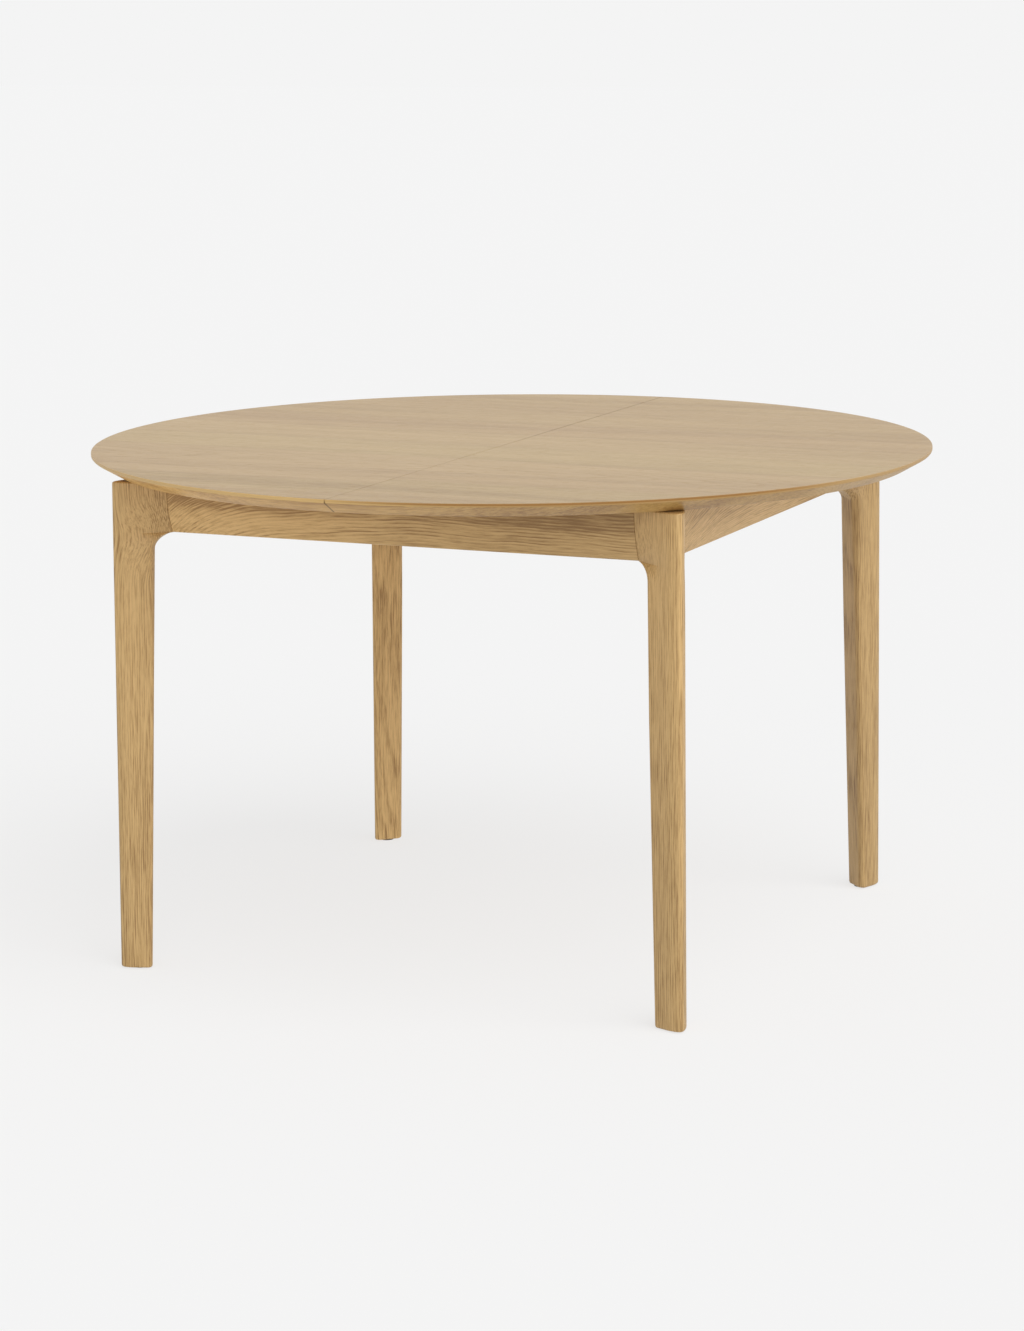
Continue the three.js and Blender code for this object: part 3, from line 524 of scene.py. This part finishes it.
def wood(name, order, tones, rings, spacing, contrast, bend=None, gain=None, edge_shade=None,
         board=False, gloss=0.44, pores=1.0, fibres=0.55, clouds=0.35, drift=30 * MM):
    """Wood with growth rings of the given spacing. contrast sets how strong the whole figure is, and
    pores, fibres and clouds how strong its layers are. gloss is the roughness between the pores."""
    material, tree = new_tree(name)
    grain = grain_space(tree, order)
    chance = None
    if bend:
        grain = bend(tree, grain)
    if board:
        grain, chance, shade, glue = boards(tree, grain)
    early = early_wood(tree, grain, rings(tree, grain, chance), spacing, drift)
    patchy = smooth(tree, noise(tree, grain, PATCH_SCALE, 2.0), 0.36, 0.60, 0.35, 1.0)
    figure = calc(tree, "MULTIPLY", early, patchy)
    fibre = noise(tree, grain, FIBRE_SCALE, 4.0, 0.65)
    broad = noise(tree, grain, CLOUD_SCALE, 3.0)
    dots = smooth(tree, noise(tree, grain, PORE_SCALE, 1.0), 0.56, 0.66)
    pore = calc(tree, "MULTIPLY", dots, calc(tree, "MULTIPLY_ADD", early, 0.75, 0.25))

    tone = calc(tree, "MULTIPLY_ADD", figure, 0.42 * contrast, 0.40 - 0.12 * contrast)
    fibre_reach, cloud_reach = fibres * contrast, clouds * contrast
    tone = calc(tree, "ADD", tone, smooth(tree, fibre, 0.25, 0.75, -fibre_reach, fibre_reach))
    tone = calc(tree, "ADD", tone, smooth(tree, broad, 0.3, 0.7, -cloud_reach, cloud_reach))
    if board:
        tone = calc(tree, "ADD", tone, shade)
    if edge_shade:
        tone = calc(tree, "ADD", tone, edge_shade(tree))

    light, dark = tones[0], tones[-1]
    colour = blend(tree, calc(tree, "MULTIPLY", pore, 0.45 * pores), tinted(tree, tone, tones), dark)
    height = calc(tree, "MULTIPLY_ADD", pore, -0.5, calc(tree, "MULTIPLY", fibre, 0.35))
    height = calc(tree, "MULTIPLY_ADD", figure, -0.25, height)
    if board:
        colour, groove = top_colour(tree, tone, colour, chance, glue)
        height = calc(tree, "MULTIPLY_ADD", groove, -0.4, height)
    colour = worn_edges(tree, colour, light)
    # The gain, where given, paints light and shade into the colour.
    if gain:
        colour = scaled(tree, colour, gain(tree))
    rough = calc(tree, "MULTIPLY_ADD", pore, 0.2, calc(tree, "MULTIPLY_ADD", fibre, 0.12, gloss - 0.06))
    finish_shader(tree, colour, rough, height, 0.35, IOR=1.48)
    return material


SWEEP = swept(-APRON_HALF, 75 * MM, 110 * MM)
SWIRL = swirled((655 * MM, -400 * MM, -436 * MM), 38 * MM, -24 * MM)

# The gains on legs and aprons paint light and shade. The front and back aprons are lighter at the left and
# darker at the right, and the right apron is lighter than the left. The legs are darker low down, and the
# back left leg is lighter than the back right. On the legs, part of the gain is also their own tone.
WOODS = {
    "top": wood("top_oak_boards", ALONG_X_FLAT, TOP_TONES, rings_flat_sawn, 3.4 * MM, 0.45,
                board=True, gloss=0.40),
    "leg": wood("leg_oak", ALONG_Z, OAK_TONES, rings_round, 3.2 * MM, 1.0, SWIRL,
                painted_light_and_tone_gain(front=(0.98, 0.97), back=(1.16, 0.88), low=0.90), clouds=0.16, drift=16 * MM),
    "apron_x": wood("apron_oak_across", ALONG_X_EDGE, OAK_TONES, rings_level, 4.4 * MM, 1.2, SWEEP,
                    painted_light_and_tone_gain(front=(1.16, 0.88)), shaded_top_edge, fibres=0.40, clouds=0.20),
    "apron_y": wood("apron_oak_deep", ALONG_Y_EDGE, OAK_TONES, rings_level, 4.4 * MM, 1.2, SWEEP,
                    painted_light_and_tone_gain(front=(1.0, 1.16)), fibres=0.40, clouds=0.20),
    "beech": wood("beech_plain", ALONG_Y_EDGE, BEECH_TONES, rings_round, 6.0 * MM, 0.8,
                  pores=0.7, gloss=0.55),
}

# ---------- other materials ----------


def metal(name, colour, stretch, rough):
    """Metal with drawn or plated variation. stretch is the texture's scale for each axis."""
    material, tree = new_tree(name)
    place = object_place(tree)
    drawn = noise(tree, place, stretch, 3.0, 0.6)
    cloud = noise(tree, place, (60.0, 60.0, 60.0), 3.0)
    shade = calc(tree, "MULTIPLY_ADD", drawn, 0.18, calc(tree, "MULTIPLY", cloud, 0.25))
    tone = blend(tree, shade, colour, toned(colour, 0.6, blue_gain=0.62))
    clouded = calc(tree, "MULTIPLY_ADD", cloud, 0.15, rough - 0.17)
    roughness = calc(tree, "MULTIPLY_ADD", drawn, 0.2, clouded)
    finish_shader(tree, tone, roughness, drawn, 0.12, Metallic=1.0)
    return material


def moulded(name, colour, rough):
    """Plastic with a fine grain and faint flow marks."""
    material, tree = new_tree(name)
    place = object_place(tree)
    grain = noise(tree, place, (2600.0, 2600.0, 2600.0), 2.0)
    flow = noise(tree, place, (30.0, 70.0, 70.0), 2.0)
    tone = blend(tree, flow, colour, toned(colour, 1.7))
    roughness = calc(tree, "MULTIPLY_ADD", flow, 0.16, rough - 0.08)
    finish_shader(tree, tone, roughness, grain, 0.15)
    return material


def felted(name, colour):
    """Felt with short hairs and lumps."""
    material, tree = new_tree(name)
    place = object_place(tree)
    hairs = noise(tree, place, (900.0, 500.0, 900.0), 4.0, 0.7)
    lumps = noise(tree, place, (120.0, 90.0, 120.0), 2.0)
    mixed = calc(tree, "MULTIPLY_ADD", lumps, 0.4, calc(tree, "MULTIPLY", hairs, 0.6))
    tone = blend(tree, mixed, colour, toned(colour, 2.2))
    finish_shader(tree, tone, 0.95, mixed, 0.8, Sheen_Weight=0.4)
    return material


STEEL = metal("zinc_plated_steel", rgb(0.62, 0.63, 0.64), (350.0, 350.0, 40.0), 0.38)
ALUMINIUM = metal("drawn_aluminium", rgb(0.78, 0.79, 0.80), (6.0, 900.0, 900.0), 0.36)
NYLON = moulded("black_nylon", rgb(0.018, 0.018, 0.019), 0.48)
FELT = felted("brown_felt", rgb(0.10, 0.07, 0.045))

# ---------- legs ----------


def apron_setback(z):
    """How far the bowed apron face lies behind the leg face, at height z."""
    drop = (FRAME_TOP - z) / (FRAME_TOP - APRON_BOTTOM)
    return APRON_SETBACK + APRON_CURVE * drop * drop


def lerp(a, b, t):
    return a + (b - a) * t


def between(z, values):
    """The value at height z, from the values at the three tip heights."""
    i = 0 if z < TIP_HEIGHTS[1] else 1
    t = min(1.0, (z - TIP_HEIGHTS[i]) / (TIP_HEIGHTS[i + 1] - TIP_HEIGHTS[i]))
    return lerp(values[i], values[i + 1], t)


def leg_ring(z, knee_out=0.0, inset=0.0, shrink=1.0):
    """Outline of the back right leg at height z. knee_out is how far the knee has flared.

    inset moves the outer faces in, and shrink draws the outline towards the section's centre.
    """
    shaft_reach = between(z, TIP_REACH)
    shaft_depth = between(z, TIP_DEPTH)
    head = z >= APRON_BOTTOM
    reach = HEAD_REACH if head else min(HEAD_REACH, shaft_reach + knee_out)
    grown = 1.0 if head else (reach - shaft_reach) / (HEAD_REACH - shaft_reach)
    setback = apron_setback(max(z, APRON_BOTTOM))
    outer = lerp(shaft_depth, setback, grown) + inset
    middle = lerp(LEG_FLAT, shaft_reach, MIDDLE_PLACE)
    share = min(1.0, max(0.0, (z - SWEEP_START) / (SWEEP_END - SWEEP_START)))
    eased = share * share * (3 - 2 * share)
    head_slope = setback / (HEAD_REACH - LEG_FLAT)
    sunk = lerp(shaft_depth * MIDDLE_PLACE, head_slope * (middle - LEG_FLAT), eased) + inset
    inner = lerp(between(z, TIP_INNER), LEG_OUTER - APRON_INNER, grown)
    back = reach - TIP_DRAFT * (1 - grown)
    tip = lerp(SHAFT_TIP, HEAD_TIP, grown)
    room = 1 - inset / LEG_FLAT
    corners = [
        (inset, inset, LEG_CORNER * room, 12),
        (LEG_FLAT, inset, FLAT_SOFTEN * room, 10),
        (middle, sunk, MIDDLE_SOFTEN, 6),
        (reach, outer, tip, 5),
        (back, inner, tip, 4),
        (inner, back, tip, 4),
        (outer, reach, tip, 5),
        (sunk, middle, MIDDLE_SOFTEN, 6),
        (inset, LEG_FLAT, FLAT_SOFTEN * room, 10),
    ]
    ring = []
    for u, v in softened(corners):
        x = LEG_OUTER - SECTION_CENTRE - (u - SECTION_CENTRE) * shrink
        y = LEG_OUTER - SECTION_CENTRE - (v - SECTION_CENTRE) * shrink
        ring.append(Vector((x, y, z)))
    return ring


def leg_rings():
    """Outlines of a leg from the floor up: rounded foot, shaft, knee, head and rounded upper end."""
    rings = []
    foot_steps = 6
    for k in range(foot_steps + 1):
        a = math.pi / 2 * k / foot_steps
        z = LEG_BOTTOM + FOOT_ROUND * (1 - math.cos(a))
        rings.append(leg_ring(z, shrink=FOOT_SHRINK + (1 - FOOT_SHRINK) * math.sin(a)))
    knee_start = APRON_BOTTOM - KNEE_R
    shaft_steps = 16
    for k in range(1, shaft_steps):
        rings.append(leg_ring(lerp(LEG_BOTTOM + FOOT_ROUND, knee_start, k / shaft_steps)))
    flare = HEAD_REACH - TIP_REACH[-1]
    last = math.acos(1 - flare / KNEE_R)
    knee_end = APRON_BOTTOM - 0.2 * MM
    knee_steps = 14
    for k in range(knee_steps + 1):
        a = last * k / knee_steps
        z = min(knee_start + KNEE_R * math.sin(a), knee_end)
        rings.append(leg_ring(z, knee_out=KNEE_R * (1 - math.cos(a))))
    head_steps = 10
    for k in range(head_steps + 1):
        rings.append(leg_ring(lerp(APRON_BOTTOM, FRAME_TOP - HEAD_ROUND, k / head_steps)))
    round_steps = 5
    for k in range(1, round_steps + 1):
        a = math.pi / 2 * k / round_steps
        z = FRAME_TOP - HEAD_ROUND * (1 - math.sin(a))
        rings.append(leg_ring(z, inset=HEAD_ROUND * (1 - math.cos(a))))
    return rings


def make_legs():
    """The four legs, each drilled for its bolt."""
    vertices, faces = loft(leg_rings())
    low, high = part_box("leg_bolt_back_right")
    middle = (low.z + high.z) / 2
    start, end = Vector((low.x, low.x, middle)), Vector((high.x, high.x, middle))
    radius = (high.z - low.z) / 2 + HOLE_CLEARANCE
    for turns, corner in enumerate(("back_right", "back_left", "front_left", "front_right")):
        turn = Matrix.Rotation(math.pi / 2 * turns, 3, "Z")
        name = f"leg_{corner}"
        turned = [turn @ v for v in vertices]
        piece = object_from(f"{name}_shaped", turned, faces, WOODS["leg"], sharp=50)
        drill(piece, turn @ start, turn @ end, radius)
        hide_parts(name)
        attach(piece, "frame")


# ---------- aprons ----------


def apron_section():
    """(outward place, height) of the back apron's section, outer face last, from the bottom up."""
    lip = 3 * MM
    face_start = APRON_BOTTOM + 2 * lip
    points = [(APRON_INNER, FRAME_TOP), (APRON_INNER, APRON_BOTTOM)]
    points += [tuple(p) for p in softened([
        (APRON_INNER, APRON_BOTTOM, 0, 0),
        (LEG_OUTER - apron_setback(APRON_BOTTOM), APRON_BOTTOM, lip, 6),
        (LEG_OUTER - apron_setback(face_start), face_start, 0, 0),
    ], closed=False)[1:-1]]
    steps = 22
    for k in range(steps + 1):
        z = lerp(face_start, FRAME_TOP, k / steps)
        points.append((LEG_OUTER - apron_setback(z), z))
    return points


def make_aprons():
    """The four aprons, the back one turned in quarters."""
    section = apron_section()
    rings = [[Vector((x, y, z)) for y, z in section] for x in (-APRON_HALF, APRON_HALF)]
    vertices, faces = loft(rings)
    for turns, side in enumerate(("back", "left", "front", "right")):
        turn = Matrix.Rotation(math.pi / 2 * turns, 3, "Z")
        material = WOODS["apron_y" if side in ("left", "right") else "apron_x"]
        piece = object_from(f"apron_{side}_shaped", [turn @ v for v in vertices], faces, material)
        bevel(piece, 0.7 * MM)
        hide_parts(f"apron_{side}")
        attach(piece, "frame")


# ---------- top ----------


def top_profile():
    """(radius, height) of the edge, from the underside round to the upper face."""
    flat = 10 * MM
    return softened([
        (TOP_RADIUS - BEVEL_INSET - flat, UNDERSIDE, 0, 0),
        (TOP_RADIUS - BEVEL_INSET, UNDERSIDE, 1.5 * MM, 5),
        (TOP_RADIUS, TOP_Z - RIM_HEIGHT, 1.6 * MM, 6),
        (TOP_RADIUS, TOP_Z, 1.3 * MM, 6),
        (TOP_RADIUS - flat, TOP_Z, 0, 0),
    ], closed=False)


def top_half(end, sign):
    """Half of the top: a skin round its curved edge, two flat faces and the face at the seam."""
    steps = 200
    rings = []
    for radius, z in top_profile():
        reach = math.acos(SEAM_X / radius)
        angles = [lerp(-reach, reach, k / steps) for k in range(steps + 1)]
        rings.append([Vector((sign * radius * math.cos(a), radius * math.sin(a), z)) for a in angles])
    count = steps + 1
    vertices = [point for ring in rings for point in ring]
    faces = sides(len(rings), count, closed=False)
    faces.append(tuple(range(count)))
    last = (len(rings) - 1) * count
    faces.append(tuple(range(last, last + count)))
    near = [k * count for k in range(len(rings))]
    far = [k * count + steps for k in range(len(rings))]
    faces.append(tuple(near + far[::-1]))
    piece = object_from(f"top_half_{end}_shaped", vertices, faces, WOODS["top"])
    drill_dowel_holes(piece, sign)
    bevel(piece, 0.35 * MM, angle=50)
    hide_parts(f"top_half_{end}")
    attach(piece, f"top_{end}")


def drill_dowel_holes(piece, sign):
    """Holes for the three dowels in the seam, a little deeper than a dowel reaches."""
    for k in (1, 2, 3):
        low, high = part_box(f"alignment_dowel_{k}")
        middle = (low + high) / 2
        radius = (high.z - low.z) / 2 + HOLE_CLEARANCE
        depth = high.x + 2 * MM
        drill(piece, (-sign * depth, middle.y, middle.z), (sign * depth, middle.y, middle.z), radius)


# ---------- nodes carried over from the CAD ----------


def weld_group():
    """Joins a mesh's loose facets, and shades it smooth across all but its sharp edges."""
    group = bpy.data.node_groups.new("weld_facets", "GeometryNodeTree")
    group.interface.new_socket("Geometry", in_out="INPUT", socket_type="NodeSocketGeometry")
    group.interface.new_socket("Geometry", in_out="OUTPUT", socket_type="NodeSocketGeometry")
    start = group.nodes.new("NodeGroupInput")
    merge = group.nodes.new("GeometryNodeMergeByDistance")
    merge.inputs["Distance"].default_value = 0.005 * MM
    drop = group.nodes.new("GeometryNodeRemoveAttribute")
    drop.inputs["Name"].default_value = "custom_normal"
    smooth_faces = group.nodes.new("GeometryNodeSetShadeSmooth")
    angle = group.nodes.new("GeometryNodeInputMeshEdgeAngle")
    limit = group.nodes.new("FunctionNodeCompare")
    limit.operation = "LESS_THAN"
    limit.inputs[1].default_value = math.radians(30)
    smooth_edges = group.nodes.new("GeometryNodeSetShadeSmooth")
    smooth_edges.domain = "EDGE"
    end = group.nodes.new("NodeGroupOutput")
    chain = (start, merge, drop, smooth_faces, smooth_edges, end)
    for one, two in zip(chain, chain[1:]):
        group.links.new(one.outputs[0], two.inputs[0])
    group.links.new(angle.outputs["Unsigned Angle"], limit.inputs[0])
    group.links.new(limit.outputs[0], smooth_edges.inputs["Shade Smooth"])
    return group


WELD = weld_group()


def refine(name, material, width):
    """Welds a CAD node's facets, breaks its edges by width and gives it a finish."""
    node = nodes[name]
    weld = node.modifiers.new("weld", "NODES")
    weld.node_group = WELD
    flat = node.modifiers.new("flat", "DECIMATE")
    flat.decimate_type = "DISSOLVE"
    flat.angle_limit = math.radians(0.5)
    bevel(node, width, angle=35)
    node.material_slots[0].material = material


def refine_nodes():
    """Every CAD node that is still shown gets its slot's material and edge width."""
    finishes = {
        "steel": (STEEL, 0.25 * MM),
        "aluminium": (ALUMINIUM, 0.3 * MM),
        "nylon": (NYLON, 0.35 * MM),
        "felt": (FELT, 0.2 * MM),
        "beech": (WOODS["beech"], 0.8 * MM),
        "top_oak": (WOODS["top"], 0.8 * MM),
    }
    for row in frame["record"]["subparts"]:
        name, slot = row["node"], row["material_slot"]
        if slot in finishes and not nodes[name].hide_render:
            refine(name, *finishes[slot])


# ---------- scene ----------
BACKDROP = 0.905  # brightness of backdrop and floor as the camera sees them
SKY = 0.5  # brightness of the backdrop as a light source
SHADOW_SHARE = 0.22  # share of the floor's brightness that shadows can take away
FLOOR_BOUNCE = 0.88  # the floor's own tone as a light source, against what the camera sees of it
# The camera, from a fit to the rim and the feet in the photo. Places in metres, turns in radians.
CAMERA_PLACE = (2.1792, -4.9762, 1.4680)
CAMERA_YAW = 0.4125
CAMERA_PITCH = 0.1078
CAMERA_ROLL = -0.0079
CAMERA_LENS = 96.0
CAMERA_SENSOR = 36.0
CAMERA_SHIFT = -0.2256


def make_world():
    """A white backdrop, brighter to the camera and in reflections than as a light source."""
    world = bpy.data.worlds.new("studio")
    bpy.context.scene.world = world
    world.use_nodes = True
    tree = world.node_tree
    tree.nodes.clear()
    rays = add(tree, "LightPath")
    direct = calc(tree, "MAXIMUM", rays.outputs["Is Camera Ray"], rays.outputs["Is Glossy Ray"])
    strength = calc(tree, "MULTIPLY_ADD", direct, BACKDROP - SKY, SKY)
    shell = add(tree, "Background", {"Color": rgb(1, 1, 1), "Strength": strength})
    output = add(tree, "OutputWorld")
    tree.links.new(shell.outputs[0], output.inputs[0])


def make_sun(name, azimuth, elevation, strength, spread):
    """A soft light from far off, in degrees. Azimuth 0 shines along +Y, and 90 along -X.

    Returns what the light adds on a level floor.
    """
    data = bpy.data.lights.new(name, "SUN")
    data.energy = strength
    data.angle = math.radians(spread)
    light = bpy.data.objects.new(name, data)
    bpy.context.scene.collection.objects.link(light)
    a, e = math.radians(azimuth), math.radians(elevation)
    towards = Vector((math.sin(a) * math.cos(e), -math.cos(a) * math.cos(e), math.sin(e)))
    light.rotation_euler = towards.to_track_quat("Z", "Y").to_euler()
    return strength * math.sin(e)


def make_floor(sun_on_floor):
    """A pale floor, mostly its own even tone, with a share that takes the table's shadow."""
    material, tree = new_tree("pale_floor")
    shaded = BACKDROP * SHADOW_SHARE
    albedo = shaded / (SKY + sun_on_floor / math.pi)
    diffuse = add(tree, "BsdfDiffuse", {"Color": rgb(albedo, albedo, albedo)})
    even = BACKDROP - shaded
    seen_directly = add(tree, "LightPath").outputs["Is Camera Ray"]
    strength = calc(tree, "MULTIPLY_ADD", seen_directly, 1 - FLOOR_BOUNCE, FLOOR_BOUNCE)
    glow = add(tree, "Emission", {"Color": rgb(even, even, even), "Strength": strength})
    both = add(tree, "AddShader", {0: diffuse.outputs[0], 1: glow.outputs[0]})
    below = add(tree, "NewGeometry").outputs["Backfacing"]
    clear = add(tree, "BsdfTransparent")
    seen = add(tree, "MixShader", {0: below, 1: both.outputs[0], 2: clear.outputs[0]})
    output = add(tree, "OutputMaterial")
    tree.links.new(seen.outputs[0], output.inputs[0])
    reach = 40.0
    corners = [(-reach, -reach, 0), (reach, -reach, 0), (reach, reach, 0), (-reach, reach, 0)]
    floor = object_from("floor", corners, [(0, 1, 2, 3)], material)


def make_camera():
    data = bpy.data.cameras.new("camera")
    data.lens = CAMERA_LENS
    data.sensor_width = CAMERA_SENSOR
    data.shift_y = CAMERA_SHIFT
    camera = bpy.data.objects.new("camera", data)
    bpy.context.scene.collection.objects.link(camera)
    yaw, pitch, roll = CAMERA_YAW, CAMERA_PITCH, CAMERA_ROLL
    forward = Vector((
        -math.sin(yaw) * math.cos(pitch),
        math.cos(yaw) * math.cos(pitch),
        -math.sin(pitch),
    ))
    level = Vector((math.cos(yaw), math.sin(yaw), 0))
    above = level.cross(forward)
    right = level * math.cos(roll) + above * math.sin(roll)
    up = above * math.cos(roll) - level * math.sin(roll)
    turn = Matrix((right, up, -forward)).transposed()
    camera.matrix_world = Matrix.Translation(CAMERA_PLACE) @ turn.to_4x4()
    bpy.context.scene.camera = camera


def make_scene():
    scene = bpy.context.scene
    scene.view_settings.view_transform = "Standard"
    scene.view_settings.look = "None"
    make_world()
    on_floor = make_sun("key", azimuth=62, elevation=48, strength=1.85, spread=60)
    on_floor += make_sun("fill", azimuth=15, elevation=10, strength=0.66, spread=60)
    on_floor += make_sun("side", azimuth=95, elevation=8, strength=0.45, spread=50)
    make_floor(on_floor)
    make_camera()


make_scene()
make_legs()
make_aprons()
for end, sign in (("left", -1), ("right", 1)):
    top_half(end, sign)
refine_nodes()
